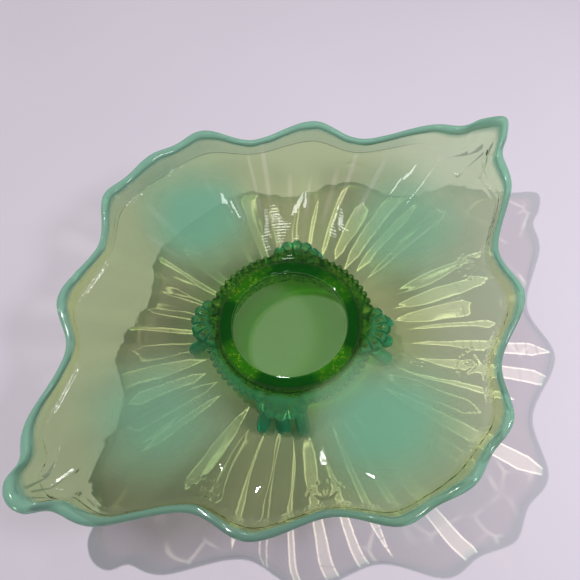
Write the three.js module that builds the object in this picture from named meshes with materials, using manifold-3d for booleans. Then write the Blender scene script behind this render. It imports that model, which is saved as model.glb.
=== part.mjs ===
// Pressed uranium glass dish: a square, crimped bowl with two corners drawn out to points,
// on a short round collar with four scallop shell feet of three toes each.
// Millimetres, +Z up. The origin is the centre of the dish on the surface that it stands on.
// The feet point along X and Y, and the drawn points of the rim lie on the diagonal +X+Y, -X-Y.
import * as THREE from 'three';
import Module from 'manifold-3d';
import { mergeVertices } from 'three/addons/utils/BufferGeometryUtils.js';

const wasm = await Module();
wasm.setup();

// ---- driving dimensions ----
const GAP = 0.3; // clearance between neighbouring solids
const SEGMENTS = 180; // divisions round the bowl and the rim

// Crest line of the rim. The corners alternate: drawn out, round, drawn out, round, each hand-worked
// and so a little unlike its opposite. Each is [radius, height].
const CORNERS = [[138.5, 53], [104.8, 47], [134, 53], [107, 48]];
// The scallops between a drawn corner and a round one: [degrees from the drawn one, radius, height].
const SCALLOPS = [
  [3.1, 131.5, 52],
  [5.6, 124, 49],
  [12.8, 117.5, 45],
  [27, 96.5, 42.5],
  [42.2, 100.8, 45],
  [60.2, 92.8, 42.5],
  [73, 104, 46.5],
  [82, 104.2, 45],
];
const LONG_DIAGONAL = Math.PI / 4; // direction of a drawn point
const RIM_SAMPLES = 1440;

const BEAD_RADIUS = 2.2; // rounded lip along the edge
const BEAD_SIDES = 8;

const FLOOR_TOP = 19.2; // height of the flat inside floor
const FLOOR_THICKNESS = 3.6;
const FLOOR_RADIUS = 33;
const WALL_THICKNESS_IN = 3.6; // bowl wall beside the floor
const WALL_THICKNESS_OUT = 3; // bowl wall beside the lip
const WALL_STEPS = 8;
const FOLD_HEIGHT = 37; // above this the wall turns up steeply to its rim
const FOLD_INSET = 1.2; // from the crest in to the fold, plus FOLD_SLOPE of the height between them
const FOLD_SLOPE = 0.75;
const FOLD_AT = 0.85; // where the fold lies in the wall's 0 to 1

const RIBS_PER_FAN = 8;
const RIB_PITCH = THREE.MathUtils.degToRad(8);
const RIB_HEIGHT = 1.2;
const RIB_START = 0.08;
const RIB_END_MIDDLE = 0.9; // ribs stop in an arch: the middle ones run furthest out
const RIB_END_SIDE = 0.62;

const COLLAR_INNER = 27;
const COLLAR_DRAFT = 1.2; // the collar's inside widens this much towards its foot
const COLLAR_OUTER = 33;
const COLLAR_BOTTOM = 5.5;
const COLLAR_CHAMFER = 0.8;

const FLANGE_OUTER = 38;
const FLANGE_HEIGHT = 3.4;
const FLANGE_HALF_ANGLE = THREE.MathUtils.degToRad(19.5);
const FLANGE_BEADS = 7;

const SHELL_RADIUS = 13;
const SHELL_CENTRE = 33.4; // distance of the shell's hinge from the dish's axis
const SHELL_THICKNESS = 5.2;
const SHELL_LOBES = 11;
const SHELL_TOP = 15.3;
const TOE_COUNT = 3;
const TOE_SPREAD_TOP = 6.6;
const TOE_SPREAD_BOTTOM = 9.2;
const TOE_TOP = [36, 11.5]; // distance from the axis, height
const TOE_BOTTOM = [45.2, 2.7];
const TOE_RADIUS_TOP = 3;
const TOE_RADIUS_BOTTOM = 3.5;

// ---- colours ----
function glass(colour, roughness) {
  return new THREE.MeshStandardMaterial({ color: colour, roughness, metalness: 0 });
}
const CLEAR_GLASS = 0xb4c083;
const OPAL_GLASS = 0x8fcfae;
const DEEP_GLASS = 0x1f6d2a;
const TEAL_GLASS = 0x4a9a78;

// ---- the rim's crest line ----
// The same scallops run from each drawn corner to the round corners on both sides of it.
function rimControlPoints() {
  const mirrored = SCALLOPS.map(([degrees, r, z]) => [90 - degrees, r, z]).reverse();
  const wholeTurn = CORNERS.flatMap(([radius, height], corner) => {
    const onwards = corner % 2 === 0 ? SCALLOPS : mirrored;
    return [[0, radius, height], ...onwards].map(([degrees, r, z]) => [90 * corner + degrees, r, z]);
  });
  return wholeTurn.map(([degrees, r, z]) => {
    const angle = LONG_DIAGONAL + THREE.MathUtils.degToRad(degrees);
    return new THREE.Vector3(r * Math.cos(angle), r * Math.sin(angle), z);
  });
}

// Crest radius and height at any angle, read off the smooth closed curve.
function makeRimLookup() {
  const curve = new THREE.CatmullRomCurve3(rimControlPoints(), true, 'catmullrom', 0.5);
  const turn = 2 * Math.PI;
  const samples = Array.from({ length: RIM_SAMPLES }, (_, i) => {
    const p = curve.getPoint(i / RIM_SAMPLES);
    const angle = (Math.atan2(p.y, p.x) + turn) % turn;
    return { angle, radius: Math.hypot(p.x, p.y), height: p.z };
  }).sort((a, b) => a.angle - b.angle);
  return (angle) => {
    const wanted = ((angle % turn) + turn) % turn;
    let next = samples.findIndex((s) => s.angle > wanted);
    if (next < 0) next = 0;
    const a = samples[(next + RIM_SAMPLES - 1) % RIM_SAMPLES];
    const b = samples[next];
    const span = (b.angle - a.angle + turn) % turn;
    const t = span > 0 ? ((wanted - a.angle + turn) % turn) / span : 0;
    return {
      radius: THREE.MathUtils.lerp(a.radius, b.radius, t),
      height: THREE.MathUtils.lerp(a.height, b.height, t),
    };
  };
}
const rimAt = makeRimLookup();

// ---- the bowl's wall ----
// s runs from 0 beside the floor, past the fold at FOLD_AT, to 1 under the rim's bead.
function wallTop(angle, s) {
  const rim = rimAt(angle);
  const foldRadius = rim.radius - FOLD_INSET - FOLD_SLOPE * (rim.height - FOLD_HEIGHT);
  if (s > FOLD_AT) {
    const up = (s - FOLD_AT) / (1 - FOLD_AT);
    return {
      r: THREE.MathUtils.lerp(foldRadius, rim.radius - BEAD_RADIUS, up),
      z: THREE.MathUtils.lerp(FOLD_HEIGHT, rim.height - 2 * BEAD_RADIUS - GAP, up),
    };
  }
  const out = s / FOLD_AT;
  return {
    r: THREE.MathUtils.lerp(FLOOR_RADIUS, foldRadius, out),
    z: FLOOR_TOP + (FOLD_HEIGHT - FLOOR_TOP) * (0.6 * out + 0.4 * out ** 3),
  };
}

function wallThickness(s) {
  return THREE.MathUtils.lerp(WALL_THICKNESS_IN, WALL_THICKNESS_OUT, s);
}

// Height of the radiating ribs on the underside: four fans, one over each foot.
function ribRelief(angle, s) {
  const quarter = Math.PI / 2;
  const fromAxis = angle - quarter * Math.round(angle / quarter);
  const slot = fromAxis / RIB_PITCH;
  const rib = Math.floor(slot) + 0.5;
  const half = RIBS_PER_FAN / 2;
  if (Math.abs(rib) > half) return 0;
  const end = THREE.MathUtils.lerp(RIB_END_MIDDLE, RIB_END_SIDE, (Math.abs(rib) / half) ** 2);
  const along = THREE.MathUtils.smoothstep(s, RIB_START, RIB_START + 0.06)
    * (1 - THREE.MathUtils.smoothstep(s, end - 0.05, end));
  const across = 1 - Math.abs(2 * (slot - rib)) ** 4;
  return RIB_HEIGHT * along * Math.max(0, across);
}

// ---- geometry helpers ----
// A closed section turned round Z, with every section point placed by a rule of its angle.
function turned(section, segments, place) {
  const outline = section.map(([u, v]) => new THREE.Vector2(u, v));
  const geometry = new THREE.LatheGeometry(outline, segments);
  const position = geometry.attributes.position;
  for (let column = 0; column <= segments; column += 1) {
    const angle = (2 * Math.PI * (column % segments)) / segments;
    section.forEach(([u, v], row) => {
      const { r, z } = place(angle, u, v);
      const index = column * section.length + row;
      position.setXYZ(index, r * Math.cos(angle), r * Math.sin(angle), z);
    });
  }
  geometry.computeVertexNormals();
  return geometry;
}

const asDrawn = (angle, r, z) => ({ r, z });

function toSolid(geometry) {
  const bare = geometry.index ? geometry.clone() : mergeVertices(geometry);
  bare.deleteAttribute('normal');
  bare.deleteAttribute('uv');
  const merged = mergeVertices(bare, 1e-4);
  const triVerts = withoutSlivers(merged.index.array);
  const vertProperties = new Float32Array(merged.attributes.position.array);
  return new wasm.Manifold(new wasm.Mesh({ numProp: 3, vertProperties, triVerts }));
}

// Triangles with a repeated corner appear where a turned profile touches its axis.
function withoutSlivers(index) {
  const kept = [];
  for (let i = 0; i < index.length; i += 3) {
    const [a, b, c] = [index[i], index[i + 1], index[i + 2]];
    if (a !== b && b !== c && c !== a) kept.push(a, b, c);
  }
  return new Uint32Array(kept);
}

function toGeometry(solid) {
  const mesh = solid.getMesh();
  const geometry = new THREE.BufferGeometry();
  geometry.setAttribute('position', new THREE.BufferAttribute(mesh.vertProperties, 3));
  geometry.setIndex(new THREE.BufferAttribute(mesh.triVerts, 1));
  geometry.computeVertexNormals();
  return geometry;
}

function named(name, geometry, material) {
  const mesh = new THREE.Mesh(geometry, material);
  mesh.name = name;
  return mesh;
}

// ---- sub-parts ----
function baseFloor() {
  const bottom = FLOOR_TOP - FLOOR_THICKNESS;
  const radius = FLOOR_RADIUS - GAP;
  const section = [[0, bottom], [radius, bottom], [radius, FLOOR_TOP], [0, FLOOR_TOP]];
  return named('base_floor', turned(section, 72, asDrawn), glass(CLEAR_GLASS, 0.05));
}

function bowlWall() {
  const upToFold = Array.from({ length: WALL_STEPS + 1 }, (_, i) => (FOLD_AT * i) / WALL_STEPS);
  const steps = [...upToFold, 1];
  const under = steps.map((s) => [s + 1, 0]);
  const over = steps.map((s) => [s + 1, 1]).reverse();
  const section = [...under, ...over, under[0]];
  const place = (angle, u, layer) => {
    const s = u - 1;
    const top = wallTop(angle, s);
    const depth = wallThickness(s) + ribRelief(angle, s);
    return { r: top.r, z: top.z - (1 - layer) * depth };
  };
  return named('bowl_wall', turned(section, SEGMENTS, place), glass(CLEAR_GLASS, 0.08));
}

function opalRim() {
  const section = Array.from({ length: BEAD_SIDES + 1 }, (_, i) => {
    const turn = (2 * Math.PI * (i % BEAD_SIDES)) / BEAD_SIDES;
    return [1 + 0.5 * Math.cos(turn), 0.5 * Math.sin(turn)];
  });
  const place = (angle, u, v) => {
    const rim = rimAt(angle);
    return {
      r: rim.radius + BEAD_RADIUS * (2 * (u - 1) - 1),
      z: rim.height + BEAD_RADIUS * (2 * v - 1),
    };
  };
  return named('opal_rim', turned(section, SEGMENTS, place), glass(OPAL_GLASS, 0.12));
}

function footCollar() {
  const top = FLOOR_TOP - FLOOR_THICKNESS - GAP;
  const mouth = COLLAR_INNER + COLLAR_DRAFT;
  const section = [
    [mouth, COLLAR_BOTTOM],
    [COLLAR_OUTER - COLLAR_CHAMFER, COLLAR_BOTTOM],
    [COLLAR_OUTER, COLLAR_BOTTOM + COLLAR_CHAMFER],
    [COLLAR_OUTER, top],
    [COLLAR_INNER, top],
    [mouth, COLLAR_BOTTOM],
  ];
  return named('foot_collar', turned(section, 72, asDrawn), glass(DEEP_GLASS, 0.08));
}

// A short flange between two feet, its outer edge moulded into beads.
function beadedFlange(name, direction) {
  const inner = COLLAR_OUTER + GAP;
  const pitch = (2 * FLANGE_HALF_ANGLE) / FLANGE_BEADS;
  const beadRadius = (FLANGE_OUTER * pitch) / 2;
  const shape = new THREE.Shape();
  shape.moveTo(inner * Math.cos(-FLANGE_HALF_ANGLE), inner * Math.sin(-FLANGE_HALF_ANGLE));
  for (let bead = 0; bead < FLANGE_BEADS; bead += 1) {
    const angle = -FLANGE_HALF_ANGLE + (bead + 0.5) * pitch;
    const x = FLANGE_OUTER * Math.cos(angle);
    const y = FLANGE_OUTER * Math.sin(angle);
    shape.absarc(x, y, beadRadius, angle - Math.PI / 2, angle + Math.PI / 2, false);
  }
  shape.lineTo(inner * Math.cos(FLANGE_HALF_ANGLE), inner * Math.sin(FLANGE_HALF_ANGLE));
  shape.absarc(0, 0, inner, FLANGE_HALF_ANGLE, -FLANGE_HALF_ANGLE, true);
  const options = { depth: FLANGE_HEIGHT, bevelEnabled: false, curveSegments: 6 };
  const geometry = new THREE.ExtrudeGeometry(shape, options);
  const mesh = named(name, geometry, glass(TEAL_GLASS, 0.15));
  mesh.position.z = SHELL_TOP - FLANGE_HEIGHT;
  mesh.rotation.z = direction;
  return mesh;
}

// The fan of the shell, lobed round its edge and fluted over its back.
function shellFan() {
  const half = SHELL_THICKNESS / 2;
  const section = [[0, -half], [0.72, -half], [1, -0.3 * half], [1, 0.3 * half], [0.72, half], [0, half]];
  const place = (angle, u, v) => {
    const lobe = 1 - 0.09 * (1 - Math.abs(Math.cos((SHELL_LOBES * angle) / 2)));
    return { r: u * SHELL_RADIUS * lobe, z: v };
  };
  return turned(section, SHELL_LOBES * 4, place).translate(SHELL_CENTRE, 0, SHELL_TOP - half);
}

// One round toe, thicker at the tip, from under the shell down to the ground.
function toe(side) {
  const top = new THREE.Vector3(TOE_TOP[0], side * TOE_SPREAD_TOP, TOE_TOP[1]);
  const bottom = new THREE.Vector3(TOE_BOTTOM[0], side * TOE_SPREAD_BOTTOM, TOE_BOTTOM[1]);
  const axis = bottom.clone().sub(top);
  const length = axis.length();
  const cap = (radius, base, from, to) => Array.from({ length: 4 }, (_, i) => {
    const turn = THREE.MathUtils.lerp(from, to, i / 3);
    return [radius * Math.cos(turn), base + radius * Math.sin(turn)];
  });
  const quarter = Math.PI / 2;
  const profile = [
    ...cap(TOE_RADIUS_TOP, 0, -quarter, 0),
    ...cap(TOE_RADIUS_BOTTOM, length, 0, quarter),
  ].map(([u, v]) => [Math.max(0, u), v]);
  const upright = turned(profile, 14, asDrawn);
  const turnTo = new THREE.Quaternion().setFromUnitVectors(
    new THREE.Vector3(0, 0, 1),
    axis.normalize(),
  );
  return upright.applyQuaternion(turnTo).translate(top.x, top.y, top.z);
}

// A cylinder upright on Z, for cutting.
function upright(radius, bottom, top) {
  const section = [[0, bottom], [radius, bottom], [radius, top], [0, top]];
  return toSolid(turned(section, 72, asDrawn));
}

function shellFootGeometry() {
  let foot = toSolid(shellFan());
  for (let i = 0; i < TOE_COUNT; i += 1) {
    foot = foot.add(toSolid(toe(i - (TOE_COUNT - 1) / 2)));
  }
  const deep = -20;
  const below = toSolid(new THREE.BoxGeometry(200, 200, -deep).translate(0, 0, deep / 2));
  const collarClearance = upright(COLLAR_OUTER + GAP, deep, FLOOR_TOP);
  return toGeometry(foot.subtract(below).subtract(collarClearance));
}

function shellFoot(name, geometry, direction) {
  const mesh = named(name, geometry, glass(TEAL_GLASS, 0.15));
  mesh.rotation.z = direction;
  return mesh;
}

// ---- the dish ----
const dish = new THREE.Group();
dish.add(baseFloor(), bowlWall(), opalRim(), footCollar());

const quarterTurn = Math.PI / 2;
const footGeometry = shellFootGeometry();
['right', 'back', 'left', 'front'].forEach((side, i) => {
  dish.add(shellFoot(`shell_foot_${side}`, footGeometry.clone(), i * quarterTurn));
});
['back_right', 'back_left', 'front_left', 'front_right'].forEach((side, i) => {
  dish.add(beadedFlange(`beaded_flange_${side}`, (i + 0.5) * quarterTurn));
});

export default dish;
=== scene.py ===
"""Uranium glass dish: a square crimped bowl of clear yellow-green glass with opalescent corners and
rim, on a deep green collar with four teal scallop shell feet.

Lengths below are in millimetres and are turned into metres by MM. +Z is up, the origin is the centre
of the dish on the surface that it stands on, and the feet point along X and Y.
"""
import math

import bmesh
import bpy
import numpy as np
from mathutils import Matrix, Vector


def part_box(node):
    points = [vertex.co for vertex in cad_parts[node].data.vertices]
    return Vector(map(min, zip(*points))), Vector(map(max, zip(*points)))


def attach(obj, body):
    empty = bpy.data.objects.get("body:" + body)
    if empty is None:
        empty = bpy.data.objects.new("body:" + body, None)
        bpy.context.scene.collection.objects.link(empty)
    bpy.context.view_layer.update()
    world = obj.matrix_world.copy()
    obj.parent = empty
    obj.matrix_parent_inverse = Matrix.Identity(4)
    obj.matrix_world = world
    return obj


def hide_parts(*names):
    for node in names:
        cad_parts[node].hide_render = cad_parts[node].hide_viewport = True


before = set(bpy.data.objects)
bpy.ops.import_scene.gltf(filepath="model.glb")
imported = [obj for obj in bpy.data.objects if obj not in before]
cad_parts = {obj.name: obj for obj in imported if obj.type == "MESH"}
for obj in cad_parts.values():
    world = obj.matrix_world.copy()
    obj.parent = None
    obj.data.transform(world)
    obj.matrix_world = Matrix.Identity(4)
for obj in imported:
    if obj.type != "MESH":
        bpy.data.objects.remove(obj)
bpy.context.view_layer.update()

MM = 0.001
QUARTER = math.pi / 2
TURN = 2 * math.pi

# ---- driving dimensions, in millimetres ----
FLOOR_LOW, FLOOR_HIGH = (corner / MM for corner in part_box("base_floor"))
COLLAR_LOW, COLLAR_HIGH = (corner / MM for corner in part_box("foot_collar"))

FLOOR_TOP = FLOOR_HIGH.z
FLOOR_BOTTOM = FLOOR_LOW.z
FLOOR_RADIUS = FLOOR_HIGH.x + 0.3  # where the floor turns up into the wall
WELL_RADIUS = 27.4  # clear round floor inside the collar
WELL_DEPTH = 0.5
WELL_STEP_IN = 1.2  # the step up round the well, inside its radius and outside it
WELL_STEP_OUT = 0.6
FLOOR_RINGS = (4, 10, 16, 21, 24.5, 25.6, 26.2, 26.8, 27.4, 28.2, 30, 32)
UNDERSIDE_RINGS = (31, 28, 24, 18, 12, 6)
COLLAR_OUTER = COLLAR_HIGH.x
COLLAR_BOTTOM = COLLAR_LOW.z

# Crest line of the rim. The corners alternate: drawn out, round, drawn out, round. [radius, height]
CORNERS = ((138.5, 53), (104.8, 47), (134, 53), (107, 48))
# The scallops between a drawn corner and a round one: [degrees from the drawn one, radius, height].
SCALLOPS = (
    (3.1, 131.5, 52),
    (5.6, 124, 49),
    (12.8, 117.5, 45),
    (27, 96.5, 42.5),
    (42.2, 100.8, 45),
    (60.2, 92.8, 42.5),
    (73, 104, 46.5),
    (82, 104.2, 45),
)
LONG_DIAGONAL = math.pi / 4  # direction of a drawn corner
VALLEY_HEIGHT = 42.5  # crest heights between which the bead thickens
PEAK_HEIGHT = 47.0

BEAD_RADIUS_VALLEY = 1.9
BEAD_RADIUS_PEAK = 2.6
BEAD_WAVES = ((0.04, 37, 1), (0.03, 61, 2))  # unevenness: [share of the radius, waves round, shift]
BEAD_THINS = 0.28  # share of its radius that the bead loses round the front right corner
BEAD_JOINS_AT = math.radians(150)  # where the wall's inside runs into the bead
BEAD_LEAVES_AT = math.radians(-75)  # where the bead runs into the wall's outside
FOLD_HEIGHT = 37.0  # above this the wall turns up steeply to its rim
FOLD_INSET = 1.2  # from the crest in to the fold, plus FOLD_SLOPE of the height between them
FOLD_SLOPE = 0.75
FOLD_AT = 0.85  # where the fold lies in the wall's reach from 0 to 1
WALL_STRAIGHT = 0.6  # share of the wall's rise that is even; the rest steepens outwards
WALL_THICKNESS_IN = 3.6
WALL_THICKNESS_OUT = 2.7

RIBS_PER_FAN = 8
RIB_PITCH = math.radians(8)
RIB_HEIGHT = 0.35
RIB_START = 49.0  # from the axis
RIB_REACH_MIDDLE = 0.88  # of the crest's radius, where the ribs end
RIB_REACH_SIDE = 0.70
RIB_TAPER_IN = 18.0  # lengths over which a rib narrows to its pointed ends
RIB_TAPER_OUT = 16.0
FLUTE_DEPTH = 0.02  # the inside of the wall dips a little over each rib
GROOVE_DEPTH = 0.35  # a fine groove outside, along the fold
GROOVE_WIDTH = 0.8

LEAF_INSET = 9.5  # from the crest to the middle of a moulded leaf
LEAF_HEIGHT = 0.45
LEAF_LOBES = ((0.0, 3.6, 1.2), (1.05, 4.0, 1.1), (-1.05, 4.0, 1.1))  # turn, half length, half width
DOT_RADIUS = 0.8
DOT_HEIGHT = 0.3
DOTS_PER_LEAF = 9
DOT_ARC = 7.5  # radius of the arc of dots round a leaf
DOT_SPAN = math.radians(130)

TIP_SWELL = 0.4  # added to the bead's radius at the ends of the drawn corners
TIP_START = 124.0  # crest radii between which it swells
TIP_END = 135.0
CREASE_DEPTH = 1.2
CREASE_WIDTH = 1.6
# Tool marks of the drawn corners: [start along the diagonal, start across, end along, end across].
CREASES = ((126, 1.5, 113, 8.0), (125, -0.5, 110, 1.0), (127, -3.0, 114, -9.0), (120, 5.0, 110, 11.0))

COLUMNS = 960  # divisions round the bowl
WALL_ROWS = 32
EDGE_START = 0.74  # the wall is finer beyond this share of its width, where its moulding is
EDGE_ROWS = 26
LIP_ROWS = 9
BEAD_ROWS = 14


# ---- the rim's crest line ----
def rim_control_points():
    """Corners and scallops all the way round, the same scallops on both sides of each drawn corner."""
    mirrored = [(90 - degrees, r, z) for degrees, r, z in reversed(SCALLOPS)]
    points = []
    for corner, (radius, height) in enumerate(CORNERS):
        onwards = SCALLOPS if corner % 2 == 0 else mirrored
        for degrees, r, z in ((0, radius, height), *onwards):
            angle = LONG_DIAGONAL + math.radians(90 * corner + degrees)
            points.append((r * math.cos(angle), r * math.sin(angle), z))
    return np.array(points)


def closed_curve(points, per_span=48):
    """A Catmull-Rom curve through closed points."""
    t = np.linspace(0, 1, per_span, endpoint=False)[:, None]
    p0, p1, p2, p3 = (np.roll(points, shift, axis=0)[:, None, :] for shift in (1, 0, -1, -2))
    curve = 0.5 * (
        2 * p1 + (p2 - p0) * t + (2 * p0 - 5 * p1 + 4 * p2 - p3) * t**2
        + (3 * p1 - p0 - 3 * p2 + p3) * t**3
    )
    return curve.reshape(-1, 3)


def crest_at(angles):
    """Crest radius and height at each angle."""
    curve = closed_curve(rim_control_points())
    curve_angles = np.unwrap(np.arctan2(curve[:, 1], curve[:, 0]))
    order = np.argsort(curve_angles)
    curve_angles = curve_angles[order]
    radius = np.hypot(curve[order, 0], curve[order, 1])
    height = curve[order, 2]
    return (
        np.interp(angles, curve_angles, radius, period=TURN),
        np.interp(angles, curve_angles, height, period=TURN),
    )


def smoothstep(x, low, high):
    t = np.clip((x - low) / (high - low), 0, 1)
    return t * t * (3 - 2 * t)


# ---- the bowl ----
def nearest_axis(angles):
    """Angle from the nearest of the four directions in which the feet point."""
    return angles - QUARTER * np.round(angles / QUARTER)


def rib_field(angles, r, crest):
    """Height of the ribs from 0 to 1: each a soft ridge, pointed at both ends, in four fans."""
    slot = nearest_axis(angles) / RIB_PITCH
    rib = np.floor(slot) + 0.5
    half = RIBS_PER_FAN / 2
    side = np.clip(np.abs(rib) / half, 0, 1) ** 2
    end = crest * (RIB_REACH_MIDDLE + (RIB_REACH_SIDE - RIB_REACH_MIDDLE) * side)
    taper = np.clip(np.minimum((r - RIB_START) / RIB_TAPER_IN, (end - r) / RIB_TAPER_OUT), 0, 1)
    width = np.maximum(taper, 1e-3) ** 0.5
    across = np.clip(2 * np.abs(slot - rib) / width, 0, 1)
    ridge = np.cos(QUARTER * across) ** 1.5 * taper**0.7
    return np.where(np.abs(rib) < half, ridge, 0.0)


def valley_angles():
    """Directions of the rim's valleys that carry a moulded leaf."""
    valleys = [degrees for degrees, _, height in SCALLOPS if height <= VALLEY_HEIGHT]
    both = [sign * degrees for degrees in valleys for sign in (1, -1)]
    return [LONG_DIAGONAL + math.radians(turn + degrees) for turn in (0, 180) for degrees in both]


def leaf_field(x, y):
    """Relief of the leaves and dots moulded near the rim's valleys, in millimetres."""
    relief = np.zeros_like(x)
    for valley in valley_angles():
        crest, _ = crest_at(np.array([valley]))
        out = np.array([math.cos(valley), math.sin(valley)])
        centre = (crest[0] - LEAF_INSET) * out
        u = (x - centre[0]) * out[0] + (y - centre[1]) * out[1]
        v = -(x - centre[0]) * out[1] + (y - centre[1]) * out[0]
        if not np.any(np.hypot(u, v) < 2 * DOT_ARC):
            continue
        for turn, length, width in LEAF_LOBES:
            a = u * math.cos(turn) + v * math.sin(turn) + 0.6 * length
            b = -u * math.sin(turn) + v * math.cos(turn)
            inside = 1 - np.hypot(a / length, b / width)
            relief = np.maximum(relief, LEAF_HEIGHT * smoothstep(inside, 0, 0.9))
        for i in range(DOTS_PER_LEAF):
            turn = math.pi + DOT_SPAN * (i / (DOTS_PER_LEAF - 1) - 0.5)
            away = np.hypot(u - DOT_ARC * math.cos(turn), v - DOT_ARC * math.sin(turn))
            relief = np.maximum(relief, DOT_HEIGHT * smoothstep(DOT_RADIUS - away, 0, DOT_RADIUS * 0.8))
    return relief


def crease_field(x, y):
    """Depth of the tool marks that fan from the two drawn corners, in millimetres."""
    along = np.abs(x * math.cos(LONG_DIAGONAL) + y * math.sin(LONG_DIAGONAL))
    across = -x * math.sin(LONG_DIAGONAL) + y * math.cos(LONG_DIAGONAL)
    depth = np.zeros_like(x)
    for u0, v0, u1, v1 in CREASES:
        length = math.hypot(u1 - u0, v1 - v0)
        du, dv = (u1 - u0) / length, (v1 - v0) / length
        t = np.clip((along - u0) * du + (across - v0) * dv, 0, length)
        away = np.hypot(along - u0 - t * du, across - v0 - t * dv)
        depth = np.maximum(depth, CREASE_DEPTH * smoothstep(CREASE_WIDTH - away, 0, CREASE_WIDTH))
    return depth


class Wall:
    """Inside surface of the wall over a set of angles, and what hangs on it."""

    def __init__(self, angles):
        self.angles = angles
        self.crest, self.crest_z = crest_at(angles)
        self.fold = self.crest - FOLD_INSET - FOLD_SLOPE * (self.crest_z - FOLD_HEIGHT)
        peak = smoothstep(self.crest_z, VALLEY_HEIGHT, PEAK_HEIGHT)
        uneven = 1 + sum(size * np.sin(waves * angles + shift) for size, waves, shift in BEAD_WAVES)
        self.bead = (BEAD_RADIUS_VALLEY + (BEAD_RADIUS_PEAK - BEAD_RADIUS_VALLEY) * peak) * uneven
        tip = smoothstep(self.crest, TIP_START, TIP_END)
        self.bead += TIP_SWELL * tip
        self.bead *= 1 - BEAD_THINS * smoothstep(np.cos(angles + LONG_DIAGONAL), 0.1, 0.8)
        self.bead_r = self.crest - self.bead
        self.bead_z = self.crest_z - self.bead
        self.lip_r = self.bead_r + self.bead * math.cos(BEAD_JOINS_AT)
        self.lip_z = self.bead_z + self.bead * math.sin(BEAD_JOINS_AT)

    def height(self, r):
        """Height of the inside at a radius short of the fold, and its slope there."""
        out = np.clip((r - FLOOR_RADIUS) / (self.fold - FLOOR_RADIUS), 0, 1)
        rise = FOLD_HEIGHT - FLOOR_TOP
        curved = 1 - WALL_STRAIGHT
        slope = rise * (WALL_STRAIGHT + 3 * curved * out**2) / (self.fold - FLOOR_RADIUS)
        return FLOOR_TOP + rise * (WALL_STRAIGHT * out + curved * out**3), slope

    def thickness(self, reach):
        return WALL_THICKNESS_IN + (WALL_THICKNESS_OUT - WALL_THICKNESS_IN) * reach

    def sections(self):
        """(r, z, outward normal's r and z, reach) from beside the floor to where the bead begins."""
        lip_slope = (self.lip_z - FOLD_HEIGHT) / (self.lip_r - self.fold)
        found = []
        coarse = np.linspace(0, EDGE_START, WALL_ROWS)[:-1]
        for out in (*coarse, *np.linspace(EDGE_START, 1, EDGE_ROWS)):
            r = FLOOR_RADIUS + (self.fold - FLOOR_RADIUS) * out
            z, slope = self.height(r)
            if out == 1:
                slope = (slope + lip_slope) / 2
            found.append((r, z, slope, FOLD_AT * out))
        for up in (0.05, *np.linspace(0.15, 1, LIP_ROWS)):
            r = self.fold + (self.lip_r - self.fold) * up
            z = FOLD_HEIGHT + (self.lip_z - FOLD_HEIGHT) * up
            found.append((r, z, lip_slope, FOLD_AT + (1 - FOLD_AT) * up))
        return [
            (r, z, slope / np.hypot(1, slope), -1 / np.hypot(1, slope), reach)
            for r, z, slope, reach in found
        ]


def bowl_rows(angles):
    """Closed profile from the middle of the floor, over the wall and the bead, and back underneath.

    Each row is (radius, height, reach, under), all arrays over the angles: reach runs from 0 beside
    the floor to 1 at the bead and over 1 on it, and under is 1 on the underside."""
    wall = Wall(angles)
    flat = np.ones_like(angles)
    rows = []

    def row(r, z, reach, under):
        rows.append(tuple(value * flat for value in (r, z, reach, under)))

    for r in FLOOR_RINGS:
        sink = WELL_DEPTH * (1 - smoothstep(r, WELL_RADIUS - WELL_STEP_IN, WELL_RADIUS + WELL_STEP_OUT))
        row(r, FLOOR_TOP - sink, 0, 0)
    sections = wall.sections()
    for r, z, _, normal_z, reach in sections:
        flute = FLUTE_DEPTH * rib_field(angles, r, wall.crest)
        crease = crease_field(r * np.cos(angles), r * np.sin(angles))
        row(r, z + (flute + crease) * normal_z, reach, 0)
    for turn in np.linspace(BEAD_JOINS_AT, BEAD_LEAVES_AT, BEAD_ROWS)[1:]:
        row(wall.bead_r + wall.bead * math.cos(turn), wall.bead_z + wall.bead * math.sin(turn), 1.1, 0)
    for r, z, normal_r, normal_z, reach in sections[-2::-1]:
        x, y = r * np.cos(angles), r * np.sin(angles)
        groove = GROOVE_DEPTH * np.exp(-(np.hypot(r - wall.fold, z - FOLD_HEIGHT) / GROOVE_WIDTH) ** 2)
        rib = RIB_HEIGHT * rib_field(angles, r, wall.crest)
        depth = wall.thickness(reach) + np.maximum(rib, leaf_field(x, y)) - groove
        row(r + depth * normal_r, z + depth * normal_z, reach, 1)
    for r in UNDERSIDE_RINGS:
        row(r, FLOOR_BOTTOM, 0, 1)
    return rows


def turned_mesh(name, rows, angles):
    """A closed skin from profile rows, with a pole at each end, and one attribute per extra value."""
    count = len(angles)
    r, z, reach, under = (np.array([row[i] for row in rows]) for i in range(4))
    ring = np.stack([r * np.cos(angles), r * np.sin(angles), z], axis=-1).reshape(-1, 3)
    poles = np.array([[0, 0, z[0].mean()], [0, 0, z[-1].mean()]])
    points = np.concatenate([ring, poles]) * MM
    top_pole, bottom_pole = len(ring), len(ring) + 1
    faces = []
    for i in range(len(rows) - 1):
        here, after = i * count, (i + 1) * count
        for j in range(count):
            k = (j + 1) % count
            faces.append((here + j, after + j, after + k, here + k))
    last = (len(rows) - 1) * count
    for j in range(count):
        k = (j + 1) % count
        faces.append((top_pole, j, k))
        faces.append((bottom_pole, last + k, last + j))
    mesh = bpy.data.meshes.new(name)
    mesh.from_pydata(points.tolist(), [], faces)
    mesh.shade_smooth()
    for label, values in (("reach", reach), ("under", under)):
        layer = mesh.attributes.new(label, "FLOAT", "POINT")
        ends = [values[0, 0], values[-1, 0]]
        layer.data.foreach_set("value", np.concatenate([values.ravel(), ends]).astype(np.float32))
    return link(name, mesh)


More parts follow.
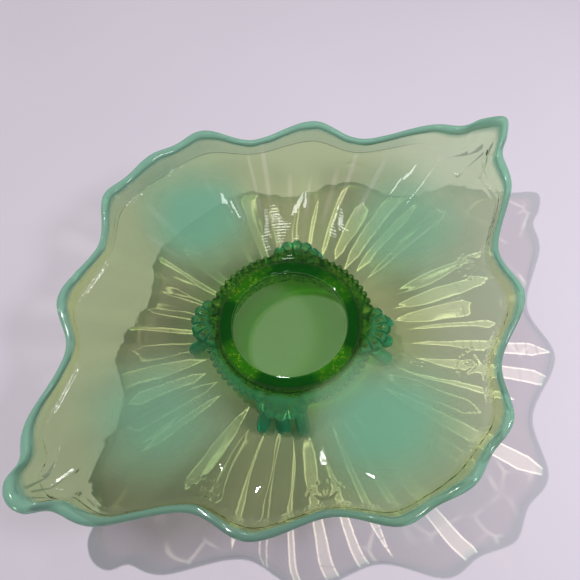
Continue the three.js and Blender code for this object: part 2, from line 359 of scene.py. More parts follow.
def link(name, mesh):
    piece = bpy.data.objects.new(name, mesh)
    bpy.context.scene.collection.objects.link(piece)
    return piece


def make_bowl():
    angles = np.linspace(0, TURN, COLUMNS, endpoint=False)
    return turned_mesh("bowl_glass", bowl_rows(angles), angles)


# ---- the collar and feet ----
SHELL_CENTRE = 33.4  # distance of the shell's hinge from the dish's axis
SHELL_RADIUS = 13.6
SHELL_TOP = 15.9
SHELL_TILT = math.radians(-9)  # the shells lean back under the rising wall
SHELL_THICKNESS = 4.4
SHELL_LOBES = 14
LOBE_DEPTH = 0.12  # of the radius, how deep the notches between lobes are
LOBE_RELIEF = 1.0
LOBE_SEGMENTS = 12
KNEE_CENTRE = (37.5, 10.6)  # the knuckle that joins the shell to its toes: from the axis, height
KNEE_SIZE = (6.0, 9.6, 3.6)
TOE_TOP = (36.0, 11.5)
TOE_BOTTOM = (45.3, 2.9)
TOE_SPREAD_TOP = 6.2
TOE_SPREAD_BOTTOM = 9.2
TOE_RADIUS_TOP = 2.7
TOE_RADIUS_BOTTOM = 3.3
TOE_POLE = 0.15  # radius of the small flats that close a toe's round ends
TOE_SEGMENTS = 24
COLLAR_LEDGE = 1.2  # from the well out to the collar's open mouth
COLLAR_SEGMENTS = 180
FLANGE_OUTER = 38.4
FLANGE_TOP = 16.6
FLANGE_MIDDLE = 14.5
FLANGE_BEAD = 1.7
FLANGE_BEADS = 64
FOOT_VOXEL = 0.38
BURIED_RADIUS = 29.5  # how far in the feet reach, hidden in the collar's wall
SEAM = 0.12  # hair's breadth between the feet and the wall above them


def add_lathe(bm, profile, segments, matrix=Matrix.Identity(4), place=None):
    """Rings of (radius, height) turned round Z, each point moved by place(angle, radius, height)."""
    rings = []
    for r, z in profile:
        ring = []
        for i in range(segments):
            angle = TURN * i / segments
            reach, height = place(angle, r, z) if place else (r, z)
            spot = Vector((reach * math.cos(angle), reach * math.sin(angle), height))
            ring.append(bm.verts.new(matrix @ spot))
        rings.append(ring)
    for low, high in zip(rings, rings[1:]):
        for i in range(segments):
            k = (i + 1) % segments
            bm.faces.new((low[i], low[k], high[k], high[i]))
    return rings


def add_solid(bm, profile, segments, matrix=Matrix.Identity(4), place=None):
    """The same rings, closed by a flat at each end."""
    rings = add_lathe(bm, profile, segments, matrix, place)
    bm.faces.new(reversed(rings[0]))
    bm.faces.new(rings[-1])


def add_ellipsoid(bm, centre, semi, turn=0.0):
    matrix = Matrix.Translation(centre) @ Matrix.Rotation(turn, 4, "Z") @ Matrix.Diagonal((*semi, 1))
    bmesh.ops.create_uvsphere(bm, u_segments=20, v_segments=12, radius=1.0, matrix=matrix)


def add_shell(bm, place):
    """A scallop: a disc of round lobes, each with a ridge that grows towards its tip."""
    half = SHELL_THICKNESS / 2

    def lobed(angle, share, height):
        lobe = abs(math.cos(SHELL_LOBES * angle / 2))
        ridge = LOBE_RELIEF * (math.sqrt(lobe) - 1) * share**2
        notch = LOBE_DEPTH * (1 - math.sqrt(lobe)) * share**2
        return SHELL_RADIUS * share * (1 - notch), height + (ridge if height > 0 else 0)

    # Half of the disc's cross section, from its underside round to its top: [share of radius, height].
    section = [
        (0.05, -half), (0.5, -half), (0.8, -0.9 * half), (0.94, -0.55 * half), (1.0, -0.1 * half),
        (0.99, 0.25 * half), (0.93, 0.62 * half), (0.84, 0.86 * half), (0.7, half), (0.5, half),
        (0.3, half), (0.05, half),
    ]
    add_solid(bm, section, SHELL_LOBES * LOBE_SEGMENTS, place, lobed)


def add_foot(bm, facing):
    """A scallop shell over a knuckle and three toes."""
    turn = Matrix.Rotation(facing, 4, "Z")
    lift = Matrix.Translation((SHELL_CENTRE, 0, SHELL_TOP - SHELL_THICKNESS / 2))
    add_shell(bm, turn @ lift @ Matrix.Rotation(SHELL_TILT, 4, "Y"))
    knee = turn @ Vector((KNEE_CENTRE[0], 0, KNEE_CENTRE[1]))
    add_ellipsoid(bm, knee, KNEE_SIZE, facing)
    for i in (-1, 0, 1):
        top = Vector((TOE_TOP[0], i * TOE_SPREAD_TOP, TOE_TOP[1]))
        bottom = Vector((TOE_BOTTOM[0], i * TOE_SPREAD_BOTTOM, TOE_BOTTOM[1]))
        add_toe(bm, turn @ top, turn @ bottom)


def add_toe(bm, top, bottom):
    """A round finger, thicker at its tip."""
    axis = bottom - top
    length = axis.length
    profile = []
    for turn in (QUARTER * k / 6 - QUARTER for k in range(7)):
        radius = max(TOE_POLE, TOE_RADIUS_TOP * math.cos(turn))
        profile.append((radius, TOE_RADIUS_TOP * math.sin(turn)))
    for turn in (QUARTER * k / 8 for k in range(9)):
        radius = max(TOE_POLE, TOE_RADIUS_BOTTOM * math.cos(turn))
        profile.append((radius, length + TOE_RADIUS_BOTTOM * math.sin(turn)))
    aim = axis.to_track_quat("Z", "Y").to_matrix().to_4x4()
    add_solid(bm, profile, TOE_SEGMENTS, Matrix.Translation(top) @ aim)


def add_collar(bm):
    """A thick round wall under the floor, with a beaded flange below the bowl."""
    top = FLOOR_BOTTOM - 0.02
    mouth = WELL_RADIUS + COLLAR_LEDGE
    outline = [
        (mouth, COLLAR_BOTTOM + 0.7), (mouth + 0.9, COLLAR_BOTTOM), (COLLAR_OUTER - 1.6, COLLAR_BOTTOM),
        (COLLAR_OUTER - 0.4, COLLAR_BOTTOM + 1.2), (COLLAR_OUTER + 0.3, 9.5), (COLLAR_OUTER + 1.4, 11.4),
        (FLANGE_OUTER, 12.2), (FLANGE_OUTER, FLANGE_TOP), (COLLAR_OUTER, top), (WELL_RADIUS, top),
    ]
    rings = add_lathe(bm, outline, COLLAR_SEGMENTS)
    for i in range(COLLAR_SEGMENTS):
        k = (i + 1) % COLLAR_SEGMENTS
        bm.faces.new((rings[-1][i], rings[-1][k], rings[0][k], rings[0][i]))
    for i in range(FLANGE_BEADS):
        angle = TURN * i / FLANGE_BEADS
        spot = Vector((FLANGE_OUTER * math.cos(angle), FLANGE_OUTER * math.sin(angle), FLANGE_MIDDLE))
        add_ellipsoid(bm, spot, (FLANGE_BEAD * 1.1, FLANGE_BEAD, FLANGE_BEAD), angle)


def fused(piece, voxel, smooth_passes):
    """The overlapping solids of a piece melted into one skin."""
    remesh = piece.modifiers.new("melt", "REMESH")
    remesh.mode = "VOXEL"
    remesh.voxel_size = voxel * MM
    soften = piece.modifiers.new("soften", "SMOOTH")
    soften.factor = 0.5
    soften.iterations = smooth_passes
    graph = bpy.context.evaluated_depsgraph_get()
    melted = bpy.data.meshes.new_from_object(piece.evaluated_get(graph))
    piece.modifiers.clear()
    piece.data = melted
    melted.shade_smooth()
    return piece


def bed_feet(mesh):
    """Flats where the toes stand, and a skin that stops just under the floor and the wall."""
    points = np.empty(3 * len(mesh.vertices), dtype=np.float32)
    mesh.vertices.foreach_get("co", points)
    points = points.reshape(-1, 3).astype(float) / MM
    r = np.hypot(points[:, 0], points[:, 1])
    wall = Wall(np.arctan2(points[:, 1], points[:, 0]))
    inside, slope = wall.height(r)
    depth = WALL_THICKNESS_IN + RIB_HEIGHT * smoothstep(r, RIB_START, RIB_START + RIB_TAPER_IN)
    ceiling = np.where(r > FLOOR_RADIUS, inside - depth * np.hypot(1, slope), FLOOR_BOTTOM) - SEAM
    points[:, 2] = np.clip(points[:, 2], 0, ceiling)
    mesh.vertices.foreach_set("co", (points * MM).astype(np.float32).ravel())
    mesh.update()


def make_feet():
    """The collar and four feet as one skin, with nothing left inside the collar's open mouth."""
    bm = bmesh.new()
    add_collar(bm)
    for i in range(4):
        add_foot(bm, i * QUARTER)
    for vert in bm.verts:
        r = math.hypot(vert.co.x, vert.co.y)
        if r < WELL_RADIUS - 0.1 and vert.co.z > COLLAR_BOTTOM + 1:
            vert.co.xy *= BURIED_RADIUS / max(r, 1e-6)
    bmesh.ops.scale(bm, vec=(MM, MM, MM), verts=bm.verts)
    mesh = bpy.data.meshes.new("foot_glass")
    bm.to_mesh(mesh)
    bm.free()
    piece = fused(link("foot_glass", mesh), FOOT_VOXEL, 2)
    bed_feet(piece.data)
    return piece


# ---- materials ----
class Signal:
    """A number in a node tree, so that shader arithmetic reads as arithmetic."""

    def __init__(self, nodes, socket):
        self.nodes = nodes
        self.socket = socket

    def __add__(self, other):
        return self.nodes.math("ADD", self, other)

    def __sub__(self, other):
        return self.nodes.math("SUBTRACT", self, other)

    def __rsub__(self, other):
        return self.nodes.math("SUBTRACT", other, self)

    def __mul__(self, other):
        return self.nodes.math("MULTIPLY", self, other)

    def __truediv__(self, other):
        return self.nodes.math("DIVIDE", self, other)

    def __abs__(self):
        return self.nodes.math("ABSOLUTE", self)

    __radd__ = __add__
    __rmul__ = __mul__


class Nodes:
    """Short calls for building a node tree."""

    def __init__(self, name):
        self.material = bpy.data.materials.new(name)
        self.material.use_nodes = True
        self.tree = self.material.node_tree
        self.tree.nodes.clear()

    def add(self, kind, **settings):
        node = self.tree.nodes.new(kind)
        for key, value in settings.items():
            setattr(node, key, value)
        return node

    def feed(self, value, socket):
        if isinstance(value, Signal):
            value = value.socket
        if isinstance(value, bpy.types.NodeSocket):
            self.tree.links.new(value, socket)
        else:
            socket.default_value = value

    def math(self, operation, a, b=0.0):
        node = self.add("ShaderNodeMath", operation=operation)
        self.feed(a, node.inputs[0])
        self.feed(b, node.inputs[1])
        return Signal(self, node.outputs[0])

    def least(self, a, b):
        return self.math("MINIMUM", a, b)

    def most(self, a, b):
        return self.math("MAXIMUM", a, b)

    def hypot(self, a, b):
        return self.math("SQRT", a * a + b * b)

    def ramp(self, value, low, high, to_low=0.0, to_high=1.0):
        """value eased from to_low at low to to_high at high."""
        node = self.add("ShaderNodeMapRange", interpolation_type="SMOOTHSTEP")
        settings = {"Value": value, "From Min": low, "From Max": high, "To Min": to_low, "To Max": to_high}
        for key, setting in settings.items():
            self.feed(setting, node.inputs[key])
        return Signal(self, node.outputs["Result"])

    def mix(self, factor, a, b):
        node = self.add("ShaderNodeMix", data_type="RGBA")
        colour_a, colour_b = (s for s in node.inputs if s.type == "RGBA")
        self.feed(factor, node.inputs[0])
        self.feed(a, colour_a)
        self.feed(b, colour_b)
        return next(s for s in node.outputs if s.type == "RGBA")

    def scaled(self, colour, factor):
        """A colour times a number, which may be over 1."""
        node = self.add("ShaderNodeVectorMath", operation="SCALE")
        self.feed(colour, node.inputs[0])
        self.feed(factor, node.inputs["Scale"])
        return node.outputs[0]

    def attribute(self, name):
        return Signal(self, self.add("ShaderNodeAttribute", attribute_name=name).outputs["Fac"])

    def position(self):
        """The point in object space, in millimetres, as a vector and as x, y and z."""
        where = self.add("ShaderNodeTexCoord").outputs["Object"]
        scaled = self.scaled(where, 1 / MM)
        split = self.add("ShaderNodeSeparateXYZ")
        self.feed(scaled, split.inputs[0])
        return scaled, *(Signal(self, output) for output in split.outputs)

    def noise(self, vector, scale, detail=3.0, roughness=0.5):
        node = self.add("ShaderNodeTexNoise")
        self.feed(vector, node.inputs["Vector"])
        self.feed(scale, node.inputs["Scale"])
        self.feed(detail, node.inputs["Detail"])
        self.feed(roughness, node.inputs["Roughness"])
        return Signal(self, node.outputs["Fac"])

    def cell_edges(self, vector, scale):
        """Distance from the nearest border between random cells."""
        node = self.add("ShaderNodeTexVoronoi", feature="DISTANCE_TO_EDGE")
        self.feed(vector, node.inputs["Vector"])
        self.feed(scale, node.inputs["Scale"])
        return Signal(self, node.outputs["Distance"])

    def chance(self, a, b, seed):
        """A number from 0 to 1 that is the same wherever a and b are."""
        wild = self.math("SINE", a * 12.9898 + b * 78.233 + seed) * 43758.5453
        return self.math("FRACT", wild)

    def pick(self, a, b, seed, low, high):
        """The same, from low to high."""
        return self.chance(a, b, seed) * (high - low) + low

    def bump(self, height, strength, distance):
        node = self.add("ShaderNodeBump")
        self.feed(strength, node.inputs["Strength"])
        self.feed(distance, node.inputs["Distance"])
        self.feed(height, node.inputs["Height"])
        return node.outputs["Normal"]


GLASS_IOR = 1.5
ABSORB_COLOUR = (0.74, 0.84, 0.30, 1)
ABSORB_DENSITY = 60.0


def glass_output(n, colour, transmission, roughness, normal, lamp_colour):
    """Solid glass that lets lamp light through in its own colour, and deepens with its thickness."""
    shader = n.add("ShaderNodeBsdfPrincipled")
    shader.inputs["IOR"].default_value = GLASS_IOR
    n.feed(colour, shader.inputs["Base Color"])
    n.feed(transmission, shader.inputs["Transmission Weight"])
    n.feed(roughness, shader.inputs["Roughness"])
    n.feed(normal, shader.inputs["Normal"])
    clear = n.add("ShaderNodeBsdfTransparent")
    n.feed(lamp_colour, clear.inputs["Color"])
    path = n.add("ShaderNodeLightPath")
    either = n.add("ShaderNodeMixShader")
    n.feed(path.outputs["Is Shadow Ray"], either.inputs[0])
    n.feed(shader.outputs[0], either.inputs[1])
    n.feed(clear.outputs[0], either.inputs[2])
    volume = n.add("ShaderNodeVolumeAbsorption")
    volume.inputs["Color"].default_value = ABSORB_COLOUR
    volume.inputs["Density"].default_value = ABSORB_DENSITY
    output = n.add("ShaderNodeOutputMaterial")
    n.feed(either.outputs[0], output.inputs["Surface"])
    n.feed(volume.outputs[0], output.inputs["Volume"])


CLEAR_TINT = (0.645, 0.79, 0.47, 1)
# painted light: a paler tint of the clear glass towards the right, where more light falls
RIGHT_LIGHT_TINT = (0.75, 0.90, 0.64, 1)
WELL_TINT = (0.34, 0.62, 0.29, 1)
DEEP_TINT = (0.001, 0.12, 0.001, 1)
GREEN_TINT = (0.045, 0.28, 0.003, 1)
LIME_TINT = (0.45, 0.68, 0.03, 1)
# painted shade and light on the lip above the fold: grey at the back, a yellow glow at the front
LIP_SHADE_TINT = (0.42, 0.58, 0.44, 1)
GLOW_TINT = (0.64, 0.76, 0.30, 1)
THREAD_TINT = (0.95, 0.99, 0.80, 1)
# painted shade: dark lines along the fold and the creases
SHADE_LINE_TINT = (0.10, 0.20, 0.12, 1)
OPAL_TINT = (0.31, 0.65, 0.46, 1)
RIM_TINT = (0.36, 0.68, 0.53, 1)
LAMP_TOP = (0.71, 0.67, 0.70, 1)  # lamp light through the clear glass: its top surface, then its under
LAMP_UNDER = (0.71, 0.69, 0.67, 1)
LAMP_OPAL = (0.52, 0.60, 0.58, 1)
LAMP_WELL = (0.90, 0.92, 0.88, 1)
LAMP_RING = (0.58, 0.78, 0.44)
ARC_RADIUS = 30.0  # of a brighter arc of light gathered by the collar
TIP_CLEARS = (102.0, 114.0)  # radii over which the lip's shading fades towards a drawn corner
CLOUDINESS = 14.0  # how far noise moves a patch's edge
PATCH_SOLID = 0.5  # shares of the glass that are opaque: patches, rim at the front and back, collar ring
RIM_SOLID_FRONT = 0.44
RIM_SOLID_BACK = 0.56
RING_SOLID = 0.4
ROUGHNESS_CLEAR = 0.012
ROUGHNESS_RIM = 0.05  # more of it along the rim
LAMP_SHADE_CORNER = 0.78  # painted shade: share of that lamp light let through near the front left point, darkening what lies under it there
BLADE_COLOUR = (1.0, 1.02, 0.8)
# The four opalescent patches: [x, y, radius, strength].
PATCHES = ((-49, 53, 37, 1.0), (53, 53, 38, 0.75), (-51, -50, 40, 0.8), (42, -46, 43, 1.0))
STROKE_WIDTH = 0.8  # of a painted dark stroke of shade along a crease
BLADE_INNER = 1.5  # extra lamp light inside a blade and along its edges
BLADE_EDGE = 4.0
NET_LIGHT = 1.6
# Ranges that chance picks from, rib by rib: radii in millimetres, and half widths in rib pitches.
BLADE_START = (38.0, 50.0)
BLADE_LENGTHENS = (0.0, 30.0)  # beyond BLADE_END, or BLADE_END_RIGHT on the right
BLADE_END = 86.0
BLADE_END_RIGHT = 76.0
BLADE_HALF_WIDTH = (0.10, 0.36)
BLADE_BLUNTNESS = (3.0, 12.0)
THREAD_START = (50.0, 62.0)
THREAD_END = (78.0, 100.0)
THREAD_HALF_WIDTH = (0.6, 2.1)  # in millimetres
THREAD_PLACE = (0.2, 0.8)  # across the rib
THREAD_FADE = 10.0
FAN_EDGE = RIBS_PER_FAN / 2 + 0.65  # in rib pitches from the fan's middle


def rib_slots(n, where, x, y):
    """Rib and fan numbers, 1 where the fan has that rib, the place across it, and the wobble added."""
    wobble = (n.noise(where, 0.10, 2.0, 0.5) - 0.5) * 0.05
    angle = n.math("ARCTAN2", y, x)
    quadrant = n.math("ROUND", angle / QUARTER)
    slot = (angle - quadrant * QUARTER) / RIB_PITCH + wobble
    rib = n.math("FLOOR", slot)
    in_fan = n.ramp(abs(rib + 0.5), FAN_EDGE - 0.05, FAN_EDGE + 0.05, 1.0, 0.0)
    return rib, quadrant, in_fan, slot - rib, wobble


def light_threads(n, where, x, y, r):
    """Pale threads of light that lie along some of the ribs at the back, from 0 to 1."""
    rib, quadrant, in_fan, share, _ = rib_slots(n, where, x, y)
    away = abs(share - n.pick(rib, quadrant, 5.5, *THREAD_PLACE)) * RIB_PITCH * r
    inner = n.pick(rib, quadrant, 1.7, *THREAD_START)
    outer = n.pick(rib, quadrant, 7.9, *THREAD_END)
    width = n.pick(rib, quadrant, 3.1, *THREAD_HALF_WIDTH)
    line = n.ramp(away, width * 0.3, width, 1.0, 0.0)
    ends = n.ramp(r, inner, inner + THREAD_FADE) * n.ramp(r, outer - THREAD_FADE, outer, 1.0, 0.0)
    return line * ends * in_fan * n.ramp(y, 20.0, 45.0)


def light_blades(n, where, x, y, r, reach):
    """Extra light that the ribs and the rim gather: long pointed blades, and a loose net further out."""
    rib, quadrant, in_fan, share, wobble = rib_slots(n, where, x, y)
    across = abs(share - 0.5)
    inner = n.pick(rib, quadrant, 2.1, *BLADE_START)
    end = n.ramp(x, 40.0, 80.0, BLADE_END, BLADE_END_RIGHT)
    outer = n.pick(rib, quadrant, 4.7, *BLADE_LENGTHENS) + end
    along = (r - inner) / (outer - inner)
    blunt = n.pick(rib, quadrant, 6.1, *BLADE_BLUNTNESS)
    taper = n.least(n.least(along * 6.0, 1.0), n.most((1.0 - along) * blunt, 0.0))
    half_width = n.pick(rib, quadrant, 0.3, *BLADE_HALF_WIDTH) * taper
    depth = (half_width - across) * RIB_PITCH * r  # millimetres inside the blade's edge
    inside = n.ramp(depth, 0.0, 0.25)
    edge = inside * n.ramp(depth, 0.35, 0.95, 1.0, 0.0)
    fill = n.ramp(n.chance(rib, quadrant, 9.2), 0.15, 0.3)
    # painted shade: fine dark rings across the blades of light
    rings = n.ramp(n.math("SINE", r * 1.9 + wobble * 60.0), 0.8, 0.95)
    blade_shade_rings = rings * n.ramp(n.noise(where, 0.05), 0.5, 0.6)
    blades = (inside * fill * BLADE_INNER + edge * BLADE_EDGE) * in_fan * (1.0 - blade_shade_rings * 0.6)
    net = n.ramp(n.cell_edges(where, 0.055), 0.0, 0.07, 1.0, 0.0)
    spark = n.ramp(n.noise(where, 0.06, 1.0, 0.5), 0.48, 0.66)
    return blades + net * spark * n.ramp(reach, 0.6, 0.9) * NET_LIGHT


def crease_shade(n, x, y):
    """Thin strokes of painted shade along the creases of the drawn corners, from 0 to 1."""
    along = abs(x + y) * math.sqrt(0.5)
    across = (y - x) * math.sqrt(0.5)
    nearest = 99.0
    for u0, v0, u1, v1 in CREASES:
        length = math.hypot(u1 - u0, v1 - v0)
        du, dv = (u1 - u0) / length, (v1 - v0) / length
        t = n.least(n.most((along - u0) * du + (across - v0) * dv, 0.0), length)
        away = n.hypot(along - u0 - t * du, across - v0 - t * dv) + t * (STROKE_WIDTH / length)
        nearest = n.least(away, nearest)
    return n.ramp(nearest, STROKE_WIDTH * 0.4, STROKE_WIDTH, 1.0, 0.0)


def bowl_material():
    """Clear yellow-green glass, milky over the four corners and along the rim."""
    n = Nodes("uranium_glass")
    where, x, y, _ = n.position()
    reach = n.attribute("reach")
    under = n.attribute("under")
    r = n.hypot(x, y)
    cloud = n.noise(where, 0.035, 2.0, 0.5)
    patch = 0.0
    for centre_x, centre_y, radius, strength in PATCHES:
        distance = n.hypot(x - centre_x, y - centre_y) + (cloud - 0.5) * CLOUDINESS
        patch = n.most(n.ramp(distance, radius * 0.2, radius, strength, 0.0), patch)
    patch = patch * n.ramp(n.least(abs(x), abs(y)), 5.0, 19.0)  # clear over the feet
    rim = n.ramp(reach, 0.94, 1.0)
    opal = n.most(patch, rim)
    well = n.ramp(r, WELL_RADIUS - 0.9, WELL_RADIUS - 0.2, 1.0, 0.0)
    ring = (1.0 - well) * n.ramp(r, COLLAR_OUTER - 1.4, COLLAR_OUTER + 2.6, 1.0, 0.0)
    zone = n.ramp(abs(x * y) / (r * r) * 2.0 + (n.noise(where, 0.07, 2.0, 0.5) - 0.5) * 1.2, 0.6, 1.0)
    speckle = n.ramp(n.noise(where, 0.55, 4.0, 0.75), 0.53, 0.64) * zone
    top = n.ramp(under, 0.9, 0.1)
    back = n.ramp(y, 0.0, 60.0)
    near = n.ramp(r, *TIP_CLEARS, 1.0, 0.0) * top
    lip = n.ramp(reach, FOLD_AT - 0.002, FOLD_AT + 0.02) * near
    # painted shade: a thin dark line along the fold, at the back
    fold = n.ramp(abs(reach - FOLD_AT), 0.002, 0.007, 1.0, 0.0) * near * back
    # painted light: the clear glass turns paler towards the right, standing in for the brighter light
    # there
    pale = n.ramp(x + y * 0.25, 40.0, 95.0)
    colour = n.mix(well, n.mix(pale, CLEAR_TINT, RIGHT_LIGHT_TINT), WELL_TINT)
    colour = n.mix(light_threads(n, where, x, y, r) * top, colour, THREAD_TINT)
    # painted shade and light on the lip: a grey band at the back for the dark surroundings seen through
    # it, a yellow glow at the front for light gathered by the rim
    colour = n.mix(lip * 0.8, colour, n.mix(back, GLOW_TINT, LIP_SHADE_TINT))
    colour = n.mix(n.most(fold * 0.85, crease_shade(n, x, y) * top * 0.8), colour, SHADE_LINE_TINT)
    colour = n.mix(opal, colour, n.mix(rim, OPAL_TINT, RIM_TINT))
    deep = n.mix(zone, DEEP_TINT, GREEN_TINT)
    colour = n.mix(ring, colour, n.mix(speckle * 0.8, deep, LIME_TINT))
    painted = (1.0 - well) * n.ramp(r, COLLAR_OUTER - 2.0, COLLAR_OUTER + 0.6, RING_SOLID, 0.0)
    milky = n.ramp(y - x * 0.5, -100.0, -30.0, RIM_SOLID_FRONT, RIM_SOLID_BACK)
    solid = n.most(n.most(patch * PATCH_SOLID, rim * milky), painted)
    roughness = ROUGHNESS_CLEAR + rim * ROUGHNESS_RIM
    tool_rings = n.math("SINE", r * 4.2) * n.ramp(cloud, 0.45, 0.65)
    sparkle = n.noise(where, 0.5, 2.0, 0.5) * n.ramp(abs(reach - FOLD_AT), 0.012, 0.03, 1.0, 0.0)
    relief = n.noise(where, 0.09, 2.0, 0.4) * 0.4 + tool_rings * 0.015 + sparkle * 1.2
    normal = n.bump(relief, 0.3, 0.0012)
    lamp = n.mix(under, LAMP_TOP, LAMP_UNDER)
    # painted shade: less lamp light through the glass towards the front left point
    lamp = n.scaled(n.mix(opal, lamp, LAMP_OPAL), n.ramp(x + y, -115.0, 0.0, LAMP_SHADE_CORNER, 1.0))
    calm = 1.0 - patch * n.ramp(x * y, -200.0, 200.0, 0.9, 0.0)  # few blades under the round corners
    extra = n.scaled(BLADE_COLOUR, light_blades(n, where, x, y, r, reach) * under * calm)
    gathered = n.add("ShaderNodeVectorMath", operation="MULTIPLY_ADD")
    for value, socket in zip((lamp, extra, lamp), gathered.inputs):
        n.feed(value, socket)
    lamp = gathered.outputs[0]
    lamp = n.mix(well, lamp, LAMP_WELL)
    arc = n.ramp(abs(r - ARC_RADIUS), 0.3, 1.2, 1.0, 0.0) * n.ramp(cloud, 0.4, 0.6) * top
    lamp = n.mix(ring, lamp, n.scaled(LAMP_RING, 1.0 + arc * 0.9))
    glass_output(n, colour, 1.0 - solid, roughness, normal, lamp)
    return n.material


COLLAR_TINT = (0.06, 0.36, 0.03, 1)
INNER_TINT = (0.55, 0.92, 0.15, 1)
TEAL_TINT = (0.22, 0.95, 0.84, 1)
SEA_TINT = (0.02, 0.62, 0.58, 1)
# painted shade along the edges of the lobes and beads, and painted light in their cores
EDGE_SHADE_TINT = (0.01, 0.42, 0.30, 1)
CORE_LIGHT_TINT = (0.66, 0.98, 0.72, 1)
EDGE_SHADE_GREEN = (0.01, 0.26, 0.04, 1)
CORE_LIGHT_GREEN = (0.60, 0.90, 0.36, 1)
LAMP_COLLAR = (0.64, 0.82, 0.48, 1)
LAMP_TEAL = (0.50, 0.66, 0.56, 1)
FRONT_LIGHT_AND_SHADE = 0.25  # share of the painted shade lines and painted light cores that shows on the front foot


def foot_pattern(n, x, y, r):
    """Painted shade in dark lines between a shell's lobes, round its edge and round each bead, and painted
    light inside them.
    """
    along = n.most(abs(x), abs(y)) - SHELL_CENTRE
    across = n.least(abs(x), abs(y))
    share = n.hypot(along, across) / SHELL_RADIUS
    lobe = abs(n.math("COSINE", n.math("ARCTAN2", across, along) * (SHELL_LOBES / 2)))
    lobe_shade = n.ramp(lobe, 0.12, 0.5, 1.0, 0.0) * n.ramp(share, 0.35, 0.6)
    lobe_shade = n.most(lobe_shade, n.ramp(share, 0.84, 0.94))
    lobe_light = n.ramp(lobe, 0.5, 0.8) * n.ramp(share, 0.42, 0.55) * n.ramp(share, 0.74, 0.84, 1.0, 0.0)
    shell = n.ramp(share, 1.03, 1.06, 1.0, 0.0)
    bead = n.math("ARCTAN2", y, x) * (FLANGE_BEADS / TURN)
    beside = (bead - n.math("ROUND", bead)) * (TURN / FLANGE_BEADS * FLANGE_OUTER)
    away = n.hypot(beside, r - FLANGE_OUTER) / FLANGE_BEAD
    # painted shade round the edge of each bead, and painted light in its core
    outline = n.ramp(abs(away - 0.82), 0.1, 0.3, 1.0, 0.0)
    bead_light = n.ramp(away, 0.35, 0.6, 1.0, 0.0)
    dark = shell * lobe_shade + (1.0 - shell) * outline
    light = shell * lobe_light + (1.0 - shell) * bead_light
    return dark, light


def foot_material():
    """Deep green in the collar, clouding to teal over the shells, beads and toes."""
    n = Nodes("uranium_glass_foot")
    where, x, y, z = n.position()
    r = n.hypot(x, y)
    cloud = n.noise(where, 0.12, 4.0, 0.55)
    clearer = n.ramp(y, -15.0, 15.0, 0.0, 5.0)  # the back of the foot is less milky than its front
    opal = n.ramp(r + (cloud - 0.5) * 6.0 - clearer, COLLAR_OUTER, COLLAR_OUTER + 4.5)
    toes = n.ramp(z, 11.0, 5.0)
    speckle = n.ramp(n.noise(where, 0.6, 4.0, 0.7), 0.42, 0.62)
    collar = n.mix(speckle, COLLAR_TINT, INNER_TINT)
    dark, light = foot_pattern(n, x, y, r)
    upper = n.ramp(r, COLLAR_OUTER + 0.5, COLLAR_OUTER + 2.5) * (1.0 - toes)
    upper = upper * n.ramp(y, -36.0, -12.0, FRONT_LIGHT_AND_SHADE, 1.0)
    colour = n.mix(opal, collar, n.mix(toes, TEAL_TINT, SEA_TINT))
    # painted light in the lobes and bead cores, where the glass is also made clearer, and painted shade
    # along their edges
    colour = n.mix(light * upper, colour, n.mix(opal, CORE_LIGHT_GREEN, CORE_LIGHT_TINT))
    colour = n.mix(dark * upper * 0.9, colour, n.mix(opal, EDGE_SHADE_GREEN, EDGE_SHADE_TINT))
    inner = n.ramp(r, WELL_RADIUS + 1.6, WELL_RADIUS + 2.6, 1.0, 0.0)
    solid = n.most(opal * 0.6 - light * upper * 0.35, inner * 0.5 + 0.15)
    roughness = 0.02 + opal * 0.05
    normal = n.bump(n.noise(where, 0.35, 3.0, 0.5), 0.25, 0.0008)
    lamp = n.mix(opal, LAMP_COLLAR, LAMP_TEAL)
    glass_output(n, colour, 1.0 - solid, roughness, normal, lamp)
    return n.material


FLOOR_DIM = (0.76, 0.71, 0.80, 1)
FLOOR_PALE = (0.81, 0.76, 0.85, 1)


def floor_material():
    """A dull pale surface with a faint slow change of tone."""
    n = Nodes("pale_floor")
    where, *_ = n.position()
    colour = n.mix(n.noise(where, 0.01, 2.0, 0.5), FLOOR_DIM, FLOOR_PALE)
    shader = n.add("ShaderNodeBsdfPrincipled")
    n.feed(colour, shader.inputs["Base Color"])
    shader.inputs["Roughness"].default_value = 0.6
    shader.inputs["Specular IOR Level"].default_value = 0.2
    output = n.add("ShaderNodeOutputMaterial")
    n.feed(shader.outputs[0], output.inputs["Surface"])
    return n.material


# ---- stage, lights and camera ----
FLOOR_HALF = 4000 * MM


def make_floor():
    mesh = bpy.data.meshes.new("floor")
    corners = [(x * FLOOR_HALF, y * FLOOR_HALF, 0) for x, y in ((-1, -1), (1, -1), (1, 1), (-1, 1))]
    mesh.from_pydata(corners, [], [(0, 1, 2, 3)])
    mesh.materials.append(floor_material())
    link("floor", mesh)


def direction(azimuth, elevation):
    """A unit vector towards a compass azimuth (0 along +X) and an elevation, in degrees."""
    a, e = math.radians(azimuth), math.radians(elevation)
    return Vector((math.cos(e) * math.cos(a), math.cos(e) * math.sin(a), math.sin(e)))


def add_light(name, kind, place, target, power, colour, **settings):
    data = bpy.data.lights.new(name, kind)
    data.energy = power
    data.color = colour
    for key, value in settings.items():
        setattr(data, key, value)
    lamp = bpy.data.objects.new(name, data)
    bpy.context.scene.collection.objects.link(lamp)
    lamp.visible_transmission = False  # glass passes lamp light through its own shader instead
    lamp.location = place
    lamp.rotation_euler = (target - place).to_track_quat("-Z", "Y").to_euler()


LIGHT_AIM = Vector((0, 0, 20)) * MM
SPOT_PLACE = Vector((750, -100, 750)) * MM
SPOT_AIM = Vector((230, 20, 0)) * MM
WHITE = (1.0, 1.0, 1.0)
ROOM_COLOUR = (0.88, 0.90, 1.0, 1)
ROOM_STRENGTH = 0.14


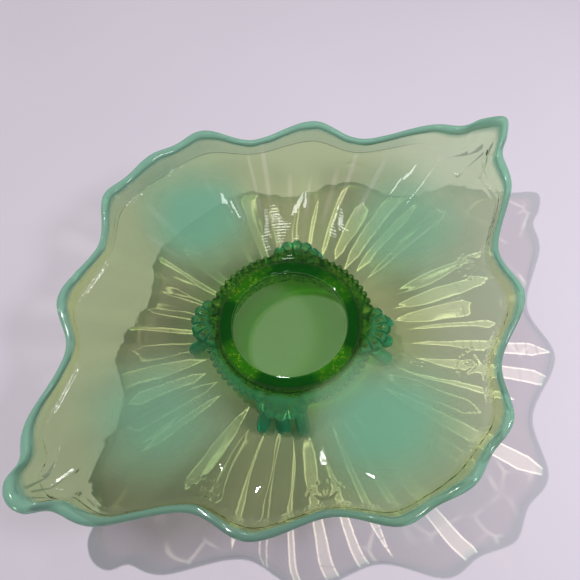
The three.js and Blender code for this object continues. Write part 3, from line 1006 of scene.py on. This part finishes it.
def make_lights():
    """A small high lamp behind on the left, dim panes above and behind that glint in the glass, a
    soft pool of light from the right, and a dim even room. Powers are in watts, sizes in metres."""
    add_light("key", "AREA", 1.6 * direction(160, 65), LIGHT_AIM, 12.4, (1.0, 0.97, 0.95), size=0.022)
    for side in (-1, 1):
        place = Vector((side * 40 - 30, 195, 1274)) * MM
        add_light(
            f"ceiling_{side}", "AREA", place, LIGHT_AIM, 0.10, WHITE,
            shape="RECTANGLE", size=0.04, size_y=0.08,
        )
    add_light(
        "window", "AREA", 1.5 * direction(97, 38), LIGHT_AIM, 0.7, WHITE,
        shape="RECTANGLE", size=0.09, size_y=0.018,
    )
    add_light(
        "side", "SPOT", SPOT_PLACE, SPOT_AIM, 22.0, (1.0, 0.95, 1.0),
        spot_size=math.radians(48), spot_blend=1.0, shadow_soft_size=0.15,
    )
    world = bpy.data.worlds.new("soft_studio")
    world.use_nodes = True
    sky = world.node_tree.nodes["Background"]
    sky.inputs["Color"].default_value = ROOM_COLOUR
    sky.inputs["Strength"].default_value = ROOM_STRENGTH
    bpy.context.scene.world = world


CAMERA_AIM = Vector((-1.0, 16.5, 20.0)) * MM
CAMERA_AZIMUTH = -90 + 10.9  # from in front, a little to the right
CAMERA_ELEVATION = 60.4
CAMERA_DISTANCE = 320.5 * MM
CAMERA_ROLL = math.radians(-7.1)
CAMERA_LENS = 42.2  # on a 36 mm sensor


def make_camera():
    data = bpy.data.cameras.new("camera")
    data.lens = CAMERA_LENS
    data.sensor_width = 36.0
    data.clip_start = 0.01
    camera = bpy.data.objects.new("camera", data)
    bpy.context.scene.collection.objects.link(camera)
    camera.location = CAMERA_AIM + CAMERA_DISTANCE * direction(CAMERA_AZIMUTH, CAMERA_ELEVATION)
    look = (CAMERA_AIM - camera.location).to_track_quat("-Z", "Y")
    camera.matrix_world = (
        Matrix.Translation(camera.location) @ look.to_matrix().to_4x4()
        @ Matrix.Rotation(CAMERA_ROLL, 4, "Z")
    )
    bpy.context.scene.camera = camera


def render_settings():
    """Bounces enough for thick glass, and a denoised result in plain colours."""
    scene = bpy.context.scene
    scene.view_settings.view_transform = "Standard"
    scene.cycles.max_bounces = 24
    scene.cycles.transmission_bounces = 20
    scene.cycles.glossy_bounces = 8
    scene.cycles.transparent_max_bounces = 24
    scene.cycles.caustics_refractive = False
    scene.cycles.caustics_reflective = False
    scene.cycles.sample_clamp_indirect = 4.0
    scene.cycles.use_denoising = True


make_camera()
make_floor()
make_lights()
render_settings()

bowl = make_bowl()
bowl.data.materials.append(bowl_material())
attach(bowl, "root")
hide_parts("base_floor", "bowl_wall", "opal_rim")

SIDES = ("right", "back", "left", "front")
FLANGE_SIDES = ("back_right", "back_left", "front_left", "front_right")
feet = make_feet()
feet.data.materials.append(foot_material())
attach(feet, "root")
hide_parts("foot_collar", *(f"shell_foot_{side}" for side in SIDES))
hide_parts(*(f"beaded_flange_{side}" for side in FLANGE_SIDES))
